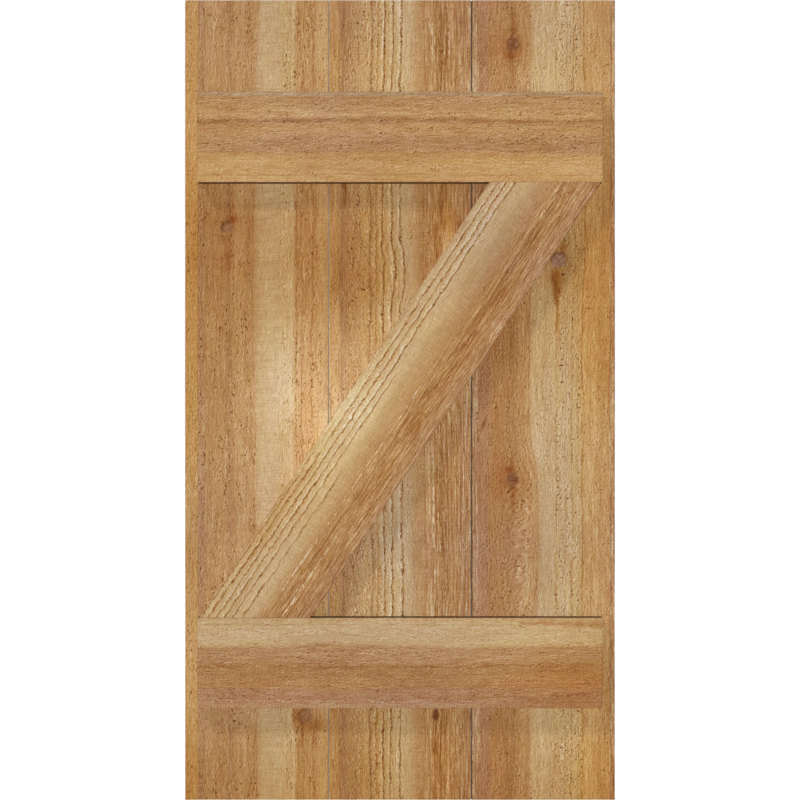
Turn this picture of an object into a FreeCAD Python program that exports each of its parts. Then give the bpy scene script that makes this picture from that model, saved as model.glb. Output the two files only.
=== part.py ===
import FreeCAD, Part
import math
import os

# A board and batten shutter in rough-sawn timber, in millimetres.
# The face looks towards -Y, +Z is up, and the origin is the centre of the flat back.

# Three boards of one width stand edge to edge, with their grain upright
board_names = ["left_board", "middle_board", "right_board"]
board_width = 136.525
board_height = 762.0
board_thickness = 17.5

# The boards' edges meet at the back and open a little towards the face
joint_opening = 1.2
joint_depth = 9.0

# Two battens lie across the boards
batten_width = 85.7
batten_thickness = 17.5
batten_end_inset = 12.7  # from the shutter's side to the batten's end
batten_margin = 88.9  # from the boards' ends to the batten's outer edge

# One brace rises from the bottom left to the top right, between the battens
brace_width = 88.0
brace_thickness = 17.5
brace_tip_inset = 1.5  # from the batten's end to the brace's sharp corner

# The arrises of all the timber are slightly worn
edge_radius = 0.8

# Countersunk screws hold the timber from the back
screw_head_diameter = 8.2
screw_head_height = 2.6
screw_rim_height = 0.4
screw_shank_diameter = 4.2
screw_point_length = 6.0
screw_tip_diameter = 0.8
screw_sink = 0.3  # from the back to the top of the head
screw_cover = 3.2  # timber left between the screw's tip and the face
screw_clearance = 0.1  # all round a screw in its hole
drive_width = 2.8
drive_depth = 1.6

# Where the screws stand
batten_screw_side = 38.0  # from each edge of a board
batten_screw_edge = 22.0  # from each edge of a batten
brace_screw_margin = 24.0  # across the shutter, from a joint or from the end of the brace
brace_screw_stagger = 12.0  # to either side of the brace's centre line

# Sizes that follow
shutter_width = board_width * len(board_names)
batten_length = shutter_width - 2 * batten_end_inset
batten_centre = board_height / 2 - batten_margin - batten_width / 2
clear_height = board_height - 2 * (batten_margin + batten_width)
face_plane = -board_thickness

# The brace's angle: its corners touch both battens and both tip insets at its full width
brace_span = batten_length - 2 * brace_tip_inset
brace_diagonal = math.hypot(brace_span, clear_height)
brace_angle = math.atan2(clear_height, brace_span) + math.asin(brace_width / brace_diagonal)
brace_end_length = brace_width / math.sin(brace_angle)

flush = 1e-6


def slab(outline, back, thickness):
    # A flat piece from its outline in X and Z, standing forward from the plane of its back
    corners = [FreeCAD.Vector(x, back, z) for x, z in outline]
    wire = Part.makePolygon(corners + corners[:1])
    return Part.Face(wire).extrude(FreeCAD.Vector(0, -thickness, 0))


def rectangle(left, right, bottom, top):
    return [(left, bottom), (right, bottom), (right, top), (left, top)]


def lies_in_plane(edge, axis, place):
    return all(abs(vertex.Point[axis] - place) < flush for vertex in edge.Vertexes)


def eased(solid, sharp_planes):
    # Rounds every edge but those that lie in a plane, given by its axis and place
    edges = []
    for edge in solid.Edges:
        if not any(lies_in_plane(edge, axis, place) for axis, place in sharp_planes):
            edges.append(edge)
    return solid.makeFillet(edge_radius, edges)


def joint_relief(joint_x):
    # The V that opens a joint towards the face, through the whole height
    mouth = joint_opening / 2
    corners = [
        FreeCAD.Vector(joint_x - mouth, face_plane, -board_height / 2),
        FreeCAD.Vector(joint_x + mouth, face_plane, -board_height / 2),
        FreeCAD.Vector(joint_x, face_plane + joint_depth, -board_height / 2),
    ]
    wire = Part.makePolygon(corners + corners[:1])
    return Part.Face(wire).extrude(FreeCAD.Vector(0, 0, board_height))


def make_board(index):
    left = index * board_width - shutter_width / 2
    right = left + board_width
    joints = []
    if index > 0:
        joints.append(left)
    if index < len(board_names) - 1:
        joints.append(right)
    outline = rectangle(left, right, -board_height / 2, board_height / 2)
    board = eased(slab(outline, 0, board_thickness), [(0, joint) for joint in joints])
    for joint in joints:
        board = board.cut(joint_relief(joint))
    return board


def make_batten(centre):
    outline = rectangle(
        -batten_length / 2,
        batten_length / 2,
        centre - batten_width / 2,
        centre + batten_width / 2,
    )
    return eased(slab(outline, face_plane, batten_thickness), [(1, face_plane)])


def make_brace():
    tip_x = brace_span / 2
    tip_z = clear_height / 2
    outline = [
        (-tip_x, -tip_z),
        (brace_end_length - tip_x, -tip_z),
        (tip_x, tip_z),
        (tip_x - brace_end_length, tip_z),
    ]
    return eased(slab(outline, face_plane, brace_thickness), [(1, face_plane)])


def turned_screw(length, gap, lead):
    # The screw's turned shape along -Y, grown by the gap, with its head drawn out by the lead
    head = screw_head_diameter / 2 + gap
    shank = screw_shank_diameter / 2 + gap
    tip = screw_tip_diameter / 2 + gap
    profile = [
        (0, -lead),
        (head, -lead),
        (head, screw_rim_height),
        (shank, screw_head_height),
        (shank, length - screw_point_length),
        (tip, length + gap),
        (0, length + gap),
    ]
    corners = [FreeCAD.Vector(radius, -screw_sink - depth, 0) for radius, depth in profile]
    face = Part.Face(Part.makePolygon(corners + corners[:1]))
    return face.revolve(FreeCAD.Vector(), FreeCAD.Vector(0, 1, 0), 360)


def make_screw(length):
    corner = FreeCAD.Vector(-drive_width / 2, -screw_sink - drive_depth, -drive_width / 2)
    socket = Part.makeBox(drive_width, drive_depth, drive_width, corner)
    return turned_screw(length, 0, 0).cut(socket)


def make_hole(length):
    return turned_screw(length, screw_clearance, 2 * screw_sink)


def batten_screw_places(centre):
    # Two screws in each crossing, on its diagonal
    places = []
    reach = batten_width / 2 - batten_screw_edge
    for index in range(len(board_names)):
        left = index * board_width - shutter_width / 2
        places.append((left + batten_screw_side, centre + reach))
        places.append((left + board_width - batten_screw_side, centre - reach))
    return places


def brace_screw_places():
    # Two screws in each board, to either side of the brace's centre line
    joint = board_width / 2
    line_end = (brace_span - brace_end_length) / 2
    stations = [joint - brace_screw_margin, joint + brace_screw_margin, line_end - brace_screw_margin]
    places = []
    for side in (-1, 1):
        for order, station in enumerate(stations):
            across = brace_screw_stagger * side * (-1) ** order
            x = side * station - across * math.sin(brace_angle)
            z = side * station * math.tan(brace_angle) + across * math.cos(brace_angle)
            places.append((x, z))
    return places


timber = {name: make_board(index) for index, name in enumerate(board_names)}
timber["top_batten"] = make_batten(batten_centre)
timber["bottom_batten"] = make_batten(-batten_centre)
timber["diagonal_brace"] = make_brace()

batten_screw_length = board_thickness + batten_thickness - screw_sink - screw_cover
brace_screw_length = board_thickness + brace_thickness - screw_sink - screw_cover
screw_sets = [
    ("top_batten", batten_screw_length, batten_screw_places(batten_centre)),
    ("bottom_batten", batten_screw_length, batten_screw_places(-batten_centre)),
    ("brace", brace_screw_length, brace_screw_places()),
]

screws = {}
holes = []
for set_name, length, places in screw_sets:
    for number, (x, z) in enumerate(places, start=1):
        place = FreeCAD.Vector(x, 0, z)
        screws[f"{set_name}_screw_{number}"] = make_screw(length).translated(place)
        holes.append(make_hole(length).translated(place))

os.makedirs("parts", exist_ok=True)
for name, piece in timber.items():
    piece.cut(holes).Solids[0].exportStep(f"parts/{name}.step")
for name, screw in screws.items():
    screw.Solids[0].exportStep(f"parts/{name}.step")
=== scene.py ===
import math

import bpy
import numpy as np
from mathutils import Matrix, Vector


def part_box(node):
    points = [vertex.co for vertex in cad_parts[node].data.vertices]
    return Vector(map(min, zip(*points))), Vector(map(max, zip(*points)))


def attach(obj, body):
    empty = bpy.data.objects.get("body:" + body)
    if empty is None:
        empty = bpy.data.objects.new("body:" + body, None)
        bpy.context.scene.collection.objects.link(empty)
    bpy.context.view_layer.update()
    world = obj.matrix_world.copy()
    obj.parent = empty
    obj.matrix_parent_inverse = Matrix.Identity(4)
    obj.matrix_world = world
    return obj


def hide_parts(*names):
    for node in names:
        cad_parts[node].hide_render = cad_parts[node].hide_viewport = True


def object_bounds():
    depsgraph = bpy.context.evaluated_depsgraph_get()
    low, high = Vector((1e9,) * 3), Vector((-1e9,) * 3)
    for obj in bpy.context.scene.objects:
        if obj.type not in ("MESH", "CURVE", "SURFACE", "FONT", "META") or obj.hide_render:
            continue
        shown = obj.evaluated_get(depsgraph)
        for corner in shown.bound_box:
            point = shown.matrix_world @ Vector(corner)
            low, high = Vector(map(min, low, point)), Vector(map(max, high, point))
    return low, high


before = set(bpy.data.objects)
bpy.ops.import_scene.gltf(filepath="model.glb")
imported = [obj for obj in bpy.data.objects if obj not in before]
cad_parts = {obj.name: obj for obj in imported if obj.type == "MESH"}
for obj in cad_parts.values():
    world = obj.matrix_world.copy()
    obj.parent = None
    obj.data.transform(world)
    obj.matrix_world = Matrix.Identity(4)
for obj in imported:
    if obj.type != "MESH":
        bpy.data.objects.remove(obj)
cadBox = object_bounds()
print("frame loaded with", len(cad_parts), "nodes")

mm = 0.001
everywhere = (-1e4, 1e4)  # a span in mm past any end
boardNames = ["left_board", "middle_board", "right_board"]

# Wood tones as they look in plain daylight, 0 to 255
tones = {
    "milk": (206, 173, 126),
    "cream": (194, 162, 120),
    "straw": (195, 161, 113),
    "oat": (189, 152, 108),
    "gold": (194, 154, 103),
    "honey": (190, 144, 86),
    "amber": (186, 142, 91),
    "lightTan": (185, 144, 98),
    "tan": (181, 138, 91),
    "pinkTan": (176, 134, 93),
    "rose": (174, 131, 90),
    "mauve": (174, 135, 100),
    "greyTan": (173, 141, 104),
    "deepAmber": (174, 128, 77),
    "umber": (172, 124, 78),
    "dusk": (168, 123, 87),
    "russet": (167, 121, 76),
    "bleached": (240, 226, 198),
    # painted light along a tight joint
    "greyLine": (156, 143, 130),
    "knotTan": (146, 97, 63),
    "knotGrey": (141, 102, 79),
    "knotRed": (124, 75, 46),
    "knotDark": (106, 56, 26),
    "bark": (92, 46, 16),
    # painted shade on the battens' inner sides and beside them
    "paintedShade": (66, 36, 12),
}

# How a band is sawn: dark flecks, fine lines, pale fuzz
finishes = {
    "smooth": (0.12, 0.10, 0.10),
    "dotted": (0.70, 0.25, 0.25),
    "flecked": (1.00, 0.35, 0.25),
    "dashed": (1.00, 0.50, 0.25),
    "grainy": (0.90, 0.12, 0.25),
    "chipped": (1.90, 0.30, 2.00),
    "lined": (0.70, 1.05, 0.25),
    "fuzzy": (0.95, 0.25, 0.90),
    "ridged": (0.90, 0.45, 0.75),
}


def linearTone(name):
    def channel(value):
        share = value / 255
        return share / 12.92 if share <= 0.04045 else ((share + 0.055) / 1.055) ** 2.4

    return tuple(channel(value) for value in tones[name]) + (1.0,)


# Smooth seeded noise from -1 to 1, for shapes and slow changes of tone
def waver(across, along, cellAcross, cellAlong, seed):
    table = np.random.default_rng(seed).uniform(-1, 1, (256, 256))
    a = np.asarray(across) / cellAcross + 64
    b = np.asarray(along) / cellAlong + 64
    i = np.floor(a).astype(int)
    j = np.floor(b).astype(int)
    s = a - i
    t = b - j
    s = s * s * (3 - 2 * s)
    t = t * t * (3 - 2 * t)
    i, j, iNext, jNext = i & 255, j & 255, (i + 1) & 255, (j + 1) & 255
    low = table[i, j] * (1 - s) + table[iNext, j] * s
    high = table[i, jNext] * (1 - s) + table[iNext, jNext] * s
    return low * (1 - t) + high * t


# 1 between two places, fading to 0 over a soft margin inside each
def between(x, span, soft):
    return np.clip((x - span[0]) / soft, 0, 1) * np.clip((span[1] - x) / soft, 0, 1)


# The grain's own coordinate across a timber: it sways, trembles, drifts and flows round knots
def grainAcross(u, v, timber):
    seed = timber["seed"] * 100 + 70
    free = between(u, timber["still"], 14)
    across = u + timber["sway"] * free * waver(u, v, 70, 180, seed)
    across = across + timber["ripple"] * free * waver(u, v, 10, 42, seed + 1)
    quiver = 0.5 * waver(u, v, 4, 10, seed + 5) + 0.5 * waver(u, v, 2.5, 3.4, seed + 6)
    amount, *span = timber.get("tremble", (0.9, *everywhere))
    ripe = 0.2 + 0.8 * between(u, span, 8)
    across = across + amount * ripe * np.minimum(1, 0.25 + free) * quiver
    for drift in timber.get("drifts", []):
        (atU, atV), (halfU, halfV) = drift["at"], drift["size"]
        near = np.exp(-(((u - atU) / halfU) ** 2)) * np.exp(-(((v - atV) / halfV) ** 4))
        across = across - drift["shift"] * near
    for knot in timber.get("knots", []):
        du = u - knot["at"][0]
        dv = v - knot["at"][1]
        radius = knot["radius"]
        bend = np.exp(-((dv / (2.4 * radius)) ** 2)) * np.exp(-((du / (2.0 * radius)) ** 2))
        across = across - 0.6 * du * bend
    return across


# Raised grain: how far it is torn near a groove, its height in mm and where pale shreds hang
def raisedGrain(across, v, timber):
    torn = np.zeros_like(v)
    height = np.zeros_like(v)
    loose = np.zeros_like(v)
    flat = np.zeros_like(v)
    for number, groove in enumerate(timber.get("grooves", [])):
        seed = timber["seed"] * 100 + number * 3
        strength = np.clip(0.85 + 0.50 * waver(v, flat, 13, 1, seed), 0.15, 1) * groove["depth"]
        strength = strength * between(v, groove.get("span", everywhere), 25)
        off = across - groove["at"]
        torn = np.maximum(torn, strength * np.exp(-((off + 0.8) / 3.2) ** 4))
        crest = 0.25 * np.exp(-(((off + 1.6) / 1.1) ** 2))
        height += strength * (crest - 0.45 * np.exp(-((off / 0.7) ** 2)))
    for shred in timber.get("shreds", []):
        loose += between(v, shred["span"], 25) * np.exp(-(((across - shred["at"]) / 2.5) ** 4))
    return torn, height, np.clip(loose, 0, 1)


# Height of the sawn face in mm
def sawnHeight(u, v, timber):
    torn, height, loose = raisedGrain(grainAcross(u, v, timber), v, timber)
    seed = timber["seed"] * 100 + 80
    height = height + 0.05 * waver(u, v, 1.8, 26, seed) + 0.05 * waver(u, v, 7, 2.4, seed + 1)
    height = height + 0.06 * waver(u, v, 30, 90, seed + 2)
    for knot in timber.get("knots", []):
        reach = np.hypot((u - knot["at"][0]) / knot["radius"], (v - knot["at"][1]) / knot["radius"])
        height += 0.20 * np.exp(-(reach**2)) - 0.15 * np.exp(-((reach - 1.15) ** 2) / 0.05)
    return height, torn, loose


# Slow changes along the timber, in single stains and in streaks: depth (darker and redder above 0,
# paler below), rust from 0 to 1, and fading (greyer above 0). On the boards the casts in the depth are
# partly painted shading, lighter just above the top batten and darker below each batten, and a few
# stains are a painted pool of light
def grainStainAndShading(u, v, timber):
    seed = timber["seed"] * 100 + 75
    places, depths = zip(*timber["castsAndShading"])
    depth = np.interp(v + 10 * waver(u, v, 22, 60, seed + 2), places, depths)
    depth = depth + 0.07 * waver(u, v, 24, 110, seed) + 0.05 * waver(u, v, 8, 45, seed + 1)
    rust = np.zeros_like(u)
    places, fades = zip(*timber["fades"])
    faded = np.interp(v + 10 * waver(u, v, 30, 50, seed + 5), places, fades)
    ragged = 1 + 0.35 * waver(u, v, 7, 16, seed + 3)
    for stainAndShading in timber["stainsAndPaintedLight"]:
        (atU, atV), (halfU, halfV) = stainAndShading["at"], stainAndShading["size"]
        du = u - atU - stainAndShading.get("tilt", 0.0) * (v - atV)
        soft = np.exp(-((du / halfU) ** 2 + ((v - atV) / halfV) ** 2) * ragged)
        depth = depth + stainAndShading.get("depth", 0.0) * soft
        rust = rust + stainAndShading.get("rust", 0.0) * soft
        faded = faded + stainAndShading.get("faded", 0.0) * soft
    for number, streak in enumerate(timber.get("streaks", [])):
        (startU, startV), (stopU, stopV) = streak["start"], streak["stop"]
        halfStart, halfStop = streak["half"]
        run = np.clip((v - startV) / (stopV - startV), 0, 1)
        middle = startU + (stopU - startU) * run + 0.9 * waver(v, 0 * v, 13, 1, seed + 10 + number)
        half = halfStart + (halfStop - halfStart) * run
        half = half * (1 + 0.45 * waver(u, v, 5, 7, seed + 4))
        soft = np.exp(-np.abs((u - middle) / half) ** 3)
        soft = soft * np.clip(0.85 + 0.5 * waver(u, v, 4, 4, seed + 40 + number), 0.2, 1.2)
        soft = soft * np.clip((v - startV) / 5, 0, 1) * np.clip((stopV - v) / 9, 0, 1)
        depth = depth + streak["depth"] * soft
        rust = rust + streak["rust"] * soft
    return depth, np.clip(rust, 0, 1), np.clip(faded, -2, 2)


# How each timber is cut, in mm
cut = {
    "ease": 0.35,  # worn arris
    "sideRows": 8,
    "backStep": 4,  # face cells to one cell of the back
    "backInset": 2.4,  # from the edge to the back's grid
    "jointDepth": 9.0,  # how deep a joint's opening tapers
    "backOpening": 0.6,  # of a joint at the back, on each side
    "holeRings": ((4.6, 0.0), (4.25, 0.35), (4.15, 0.9), (2.3, 2.9), (2.2, 6.0)),  # radius and depth
}


# On a timber u runs across the grain, v along it and w from the face to the back, in mm.
# This gives u and v from shares of the width and length inside the insets
def spotOn(place, a, b, first, last, ends):
    slope = place.get("slope", 0.0)
    u = first + a * (place["wide"] - first - last)
    end = ends * math.hypot(1, slope)
    return u, slope * u + end + b * (place["long"] - 2 * end)


def gridShares(across, along):
    a, b = np.meshgrid(np.linspace(0, 1, across + 1), np.linspace(0, 1, along + 1), indexing="ij")
    return a.ravel(), b.ravel()


def gridRim(across, along):
    columns = along + 1
    rim = [i * columns for i in range(across + 1)]
    rim += [across * columns + j for j in range(1, along + 1)]
    rim += [i * columns + along for i in range(across - 1, -1, -1)]
    rim += range(along - 1, 0, -1)
    return np.array(rim)


def addPoints(shell, points, wear):
    first = shell["count"]
    shell["points"].append(points)
    shell["wear"].append(wear)
    shell["count"] += len(points)
    return np.arange(first, shell["count"])


def addRing(shell, outer, inner):
    for k in range(len(outer)):
        n = (k + 1) % len(outer)
        shell["faces"].append((outer[n], outer[k], inner[k], inner[n]))


# Four-sided cells over a grid of points; the steps lead to a cell's next corner and its last
def addCells(shell, first, cells, steps, opened=()):
    for i in range(cells[0]):
        for j in range(cells[1]):
            if (i, j) not in opened:
                k = first + i * (cells[1] + 1) + j
                shell["faces"].append((k, k + steps[0], k + sum(steps), k + steps[1]))


# The face: a fine grid
def addFace(shell, timber, place):
    cells, ease = timber["cells"], cut["ease"]
    first, last = place.get("openings", (0.0, 0.0))
    a, b = gridShares(*cells)
    u, v = spotOn(place, a, b, ease + first, ease + last, ease)
    height, torn, loose = sawnHeight(u, v, timber)
    addPoints(shell, np.column_stack([u, v, -height]), np.column_stack([torn, loose, np.zeros_like(u)]))
    shell["folded"].append(np.column_stack([u, v]))
    addCells(shell, 0, cells, (cells[1] + 1, 1))
    rim = gridRim(*cells)
    return rim, a[rim], b[rim]


# Rings round the edge, each with its inset and its depth, from the face's rim to the back
def addSides(shell, timber, place, rim, a, b):
    ease, thick, rows = cut["ease"], place["thick"], cut["sideRows"]
    seed = timber["seed"] * 100 + 90
    opening = place.get("openings", (0.0, 0.0))
    closed = place.get("joints", (False, False))
    backOpening = [cut["backOpening"] if joint else 0.0 for joint in closed]
    onEnd = (b == 0) | (b == 1)
    inwardU = (a == 0) * (0.0 if closed[0] else 1.0) - (a == 1) * (0.0 if closed[1] else 1.0)
    inwardV = (b == 0) * 1.0 - (b == 1) * 1.0
    outwardU = (a == 1) * 1.0 - (a == 0) * 1.0
    foldU, foldV = spotOn(place, a, b, ease, ease, ease)
    bevel = 0.29 * ease
    rings = [(bevel, bevel), (0.0, ease)]
    rings += [(0.0, ease + (thick - 2 * ease) * k / rows) for k in range(1, rows + 1)]
    rings += [(bevel, thick - bevel), (ease, thick)]
    outer = rim
    before = (ease, 0.0)
    reach = 0.0
    for inset, depth in rings:
        atFace, atBack = (max(0.0, 1 - off / cut["jointDepth"]) for off in (depth, thick - depth))
        apart = [max(face * atFace, back * atBack) for face, back in zip(opening, backOpening)]
        u, v = spotOn(place, a, b, inset + apart[0], inset + apart[1], inset)
        level = np.full_like(u, depth)
        rough = 0.04 * (1 + waver(u + v, level, 2.6, 2.0, seed))
        rough = rough + 0.03 * (1 + waver(u + v, level, 24, 9, seed + 1))
        side = np.where(onEnd, 1.0, 0.5) * min(1.0, depth / ease, (thick - depth) / ease + 0.02)
        points = np.column_stack([u + rough * inwardU, v + rough * inwardV, level])
        inner = addPoints(shell, points, np.column_stack([0 * u, 0 * u, side]))
        addRing(shell, outer, inner)
        outer = inner
        reach += math.hypot(inset - before[0], depth - before[1])
        before = (inset, depth)
        shell["folded"].append(np.column_stack([foldU + reach * outwardU, foldV - reach * inwardV]))
    return outer, reach


# The back: a coarse grid, stitched to the last ring, with countersunk holes round the screws
def addBack(shell, timber, place, ring):
    step, inset, thick = cut["backStep"], cut["backInset"], place["thick"]
    across, along = (cells // step for cells in timber["cells"])
    columns = along + 1
    a, b = gridShares(across, along)
    u, v = spotOn(place, a, b, inset, inset, inset)
    dip = 0.05 * waver(u, v, 30, 90, timber["seed"] * 100 + 92) - 0.05
    first = addPoints(shell, np.column_stack([u, v, thick + dip]), np.zeros((len(u), 3)))[0]
    rim = first + gridRim(across, along)
    for k in range(len(rim)):
        outer = [ring[(k * step + m) % len(ring)] for m in range(step, -1, -1)]
        shell["faces"].append((*outer, rim[k], rim[(k + 1) % len(rim)]))
    block = 4  # cells on each side of the opening round a screw
    blockRim = gridRim(block, block)
    opened = set()
    for hole in place.get("holes", []):
        i0 = int(round((hole[0] - inset) / (place["wide"] - 2 * inset) * across)) - block // 2
        j0 = int(round((hole[1] - inset) / (place["long"] - 2 * inset) * along)) - block // 2
        opened.update((i0 + i, j0 + j) for i in range(block) for j in range(block))
        border = (i0 + blockRim // (block + 1)) * columns + j0 + blockRim % (block + 1)
        spread = np.column_stack([u[border], v[border]]) - hole
        spread = spread / np.linalg.norm(spread, axis=1)[:, None]
        outer = first + border
        for radius, depth in cut["holeRings"]:
            level = np.full(len(border), thick - depth)
            worn = np.full(len(border), min(1.0, depth))
            points = np.column_stack([np.array(hole) + radius * spread, level])
            inner = addPoints(shell, points, np.column_stack([0 * worn, 0 * worn, worn]))
            addRing(shell, outer, inner)
            outer = inner
        shell["faces"].append(tuple(outer[::-1]))
    addCells(shell, first, (across, along), (1, columns), opened)


# What the material reads: the grain's coordinates, wear, and stain with painted shading
def storeFields(mesh, spots, wear, timber):
    across = grainAcross(spots[:, 0], spots[:, 1], timber)
    fields = {
        "spot": spots,
        "grain": np.column_stack([across, spots[:, 1:]]),
        "wear": wear,
        "stainAndShading": np.column_stack(grainStainAndShading(spots[:, 0], spots[:, 1], timber)),
    }
    for label, field in fields.items():
        attribute = mesh.attributes.new(label, "FLOAT_VECTOR", "POINT")
        attribute.data.foreach_set("vector", field.astype(np.float32).ravel())


# In the map the face, with its sides folded out, lies beside the back
def mapTimber(mesh, spots, folded, place, reach, frontCorners):
    corners = np.empty(len(mesh.loops), np.int32)
    mesh.loops.foreach_get("vertex_index", corners)
    skirt = reach + 1.0
    tall = place["long"] + abs(place.get("slope", 0.0)) * place["wide"]
    extent = np.array([2 * (place["wide"] + 2 * skirt), tall + 2 * skirt])
    folded = np.vstack([folded, np.zeros((len(spots) - len(folded), 2))])
    onFront = (np.arange(len(corners)) < frontCorners)[:, None]
    beside = spots[corners, :2] + (place["wide"] + 3 * skirt, skirt)
    uv = np.where(onFront, folded[corners] + skirt, beside) / extent
    layer = mesh.uv_layers.new(name="OFBake")
    layer.data.foreach_set("uv", (0.002 + 0.996 * uv).astype(np.float32).ravel())


def sawnTimber(name, timber, place):
    shell = {"points": [], "wear": [], "folded": [], "faces": [], "count": 0}
    rim, a, b = addFace(shell, timber, place)
    ring, reach = addSides(shell, timber, place, rim, a, b)
    frontCorners = 4 * len(shell["faces"])
    addBack(shell, timber, place, ring)
    spots = np.vstack(shell["points"])
    axes = np.array(place["axes"], float)
    world = np.array(place["corner"]) + mm * (spots @ axes)
    faces = shell["faces"]
    if np.linalg.det(axes) > 0:
        faces = [tuple(reversed(face)) for face in faces]
    mesh = bpy.data.meshes.new(name)
    mesh.from_pydata(world.tolist(), [], faces)
    storeFields(mesh, spots, np.vstack(shell["wear"]), timber)
    mapTimber(mesh, spots, np.vstack(shell["folded"]), place, reach, frontCorners)
    mesh.shade_smooth()
    mesh.set_sharp_from_angle(angle=math.radians(50))
    mesh.update()
    piece = bpy.data.objects.new(name, mesh)
    bpy.context.scene.collection.objects.link(piece)
    return piece


# Small helpers for materials
bench = {}  # holds the node tree that is being built


def newMaterial(name):
    material = bpy.data.materials.new(name)
    material.use_nodes = True
    bench["tree"] = material.node_tree
    return material, material.node_tree.nodes["Principled BSDF"]


def plug(node, inputs):
    for name, value in inputs.items():
        if isinstance(value, bpy.types.NodeSocket):
            bench["tree"].links.new(value, node.inputs[name])
        else:
            node.inputs[name].default_value = value


def addNode(kind, inputs, **settings):
    node = bench["tree"].nodes.new("ShaderNode" + kind)
    for name, setting in settings.items():
        setattr(node, name, setting)
    plug(node, inputs)
    return node


def maths(kind, first, second=0.0):
    return addNode("Math", {0: first, 1: second}, operation=kind).outputs[0]


def minus(first, second):
    return maths("SUBTRACT", first, second)


def total(*values):
    result = values[0]
    for value in values[1:]:
        result = maths("ADD", result, value)
    return result


def times(*values):
    result = values[0]
    for value in values[1:]:
        result = maths("MULTIPLY", result, value)
    return result


def scaled(value, factor, offset):
    return total(times(value, factor), offset)


def fade(value, low, high):
    inputs = {"Value": value, "From Min": low, "From Max": high}
    return addNode("MapRange", inputs, interpolation_type="SMOOTHSTEP").outputs["Result"]


def blendTones(share, under, over, kind="MIX"):
    inputs = {0: share, 6: under, 7: over}  # 6 and 7 are the tones
    return addNode("Mix", inputs, data_type="RGBA", blend_type=kind).outputs[2]


# Darker and redder above 1, paler below
def deepen(colour, depth):
    return addNode("Gamma", {0: colour, 1: depth}).outputs[0]


def splitThree(vector):
    return addNode("SeparateXYZ", {0: vector}).outputs


def readAttribute(name):
    return addNode("Attribute", {}, attribute_name=name).outputs["Vector"]


# Noise whose cells have a size across and along the grain
def speckle(where, size, seed, detail=2.0, harsh=0.5, coarse=1.0, tilt=0.0, shift=(0.0, 0.0)):
    if tilt:
        x, y, z = splitThree(where)
        where = addNode("CombineXYZ", {0: total(x, times(y, tilt)), 1: y, 2: z}).outputs[0]
    across, along, through = size[0] * coarse, size[1], size[0]
    stretch = (1 / across, 1 / along, 1 / through)
    start = (seed * 3.7 + shift[0] / across, seed * 5.3 + shift[1] / along, seed * 1.9)
    cells = addNode("VectorMath", {0: where, 1: stretch, 2: start}, operation="MULTIPLY_ADD")
    inputs = {"Vector": cells.outputs[0], "Scale": 1.0, "Detail": detail, "Roughness": harsh}
    return addNode("TexNoise", inputs).outputs[0]


def toneRamp(value, stops):
    node = addNode("ValToRGB", {0: value})
    elements = node.color_ramp.elements
    for number, (position, colour) in enumerate(stops):
        element = elements[number] if number < 2 else elements.new(position)
        element.position = position
        element.color = colour
    return node.outputs[0]


def addBump(shader, height, strength, distance):
    bump = addNode("Bump", {"Strength": strength, "Distance": distance, "Height": height})
    plug(shader, {"Normal": bump.outputs[0]})


# Marks of the sawn wood: size across and along the grain in mm, number for the seed, detail, harshness
marks = {
    "fibre": (0.85, 9, 2, 2.0, 0.6),
    "stripe": (1.15, 30, 3, 2.0, 0.55),
    "chip": (1.25, 2.5, 4, 1.5, 0.55),
    "tearing": (4.5, 15, 25, 2.0, 0.6),
    "kerf": (12, 1.1, 24, 1.0, 0.5),
    "patch": (3.6, 40, 5, 3.0, 0.6),
    "fleck": (1.15, 2.7, 6, 1.5, 0.55),
    "fuzz": (1.15, 2.7, 7, 1.5, 0.55),
    "break": (4, 15, 1, 2.0, 0.6),
    "jag": (1.5, 1.5, 22, 1.0, 0.5),
    "rip": (3, 2.4, 23, 2.0, 0.5),
    "hue": (2.4, 26, 21, 2.0, 0.6),
    "dash": (1.6, 6.5, 20, 2.0, 0.6),
    "knotEdge": (4, 5, 8, 2.0, 0.5),
    "knotCore": (1.2, 1.8, 9, 2.0, 0.5),
    "knotRim": (5, 6, 13, 2.0, 0.5),
}


def grainNoise(wood, mark, more=0, coarse=1.0, tilt=0.0, shift=(0.0, 0.0)):
    across, along, number, detail, harsh = marks[mark]
    seed = wood["seed"] + number + more
    return speckle(wood["grain"], (across, along), seed, detail, harsh, coarse, tilt, shift)


# Streaks of fibre lean towards rose or towards yellow
hues = [
    (0.30, (1.015, 0.96, 0.92, 1.0)),
    (0.50, (1.005, 0.98, 0.90, 1.0)),
    (0.70, (0.985, 1.01, 0.82, 1.0)),
]

# A timber's own places are richer or faded
fading = [
    (0.0, (1.06, 0.92, 0.53, 1.0)),
    (0.5, (1.00, 1.00, 1.00, 1.0)),
    (1.0, (0.94, 1.06, 1.58, 1.0)),
]
rusty = (1.0, 0.78, 0.56, 1.0)

# The wood's mean depth, its palest, its shine, and the strength and height in mm of its relief
woodLook = {"depth": 0.938, "palest": 0.35, "shine": 0.2, "bump": 0.8, "relief": 1.8}

# Sides and ends are darker than the face
edgeShades = {"side": (0.84, 0.80, 0.74, 1.0), "end": (0.80, 0.77, 0.72, 1.0)}


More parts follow.
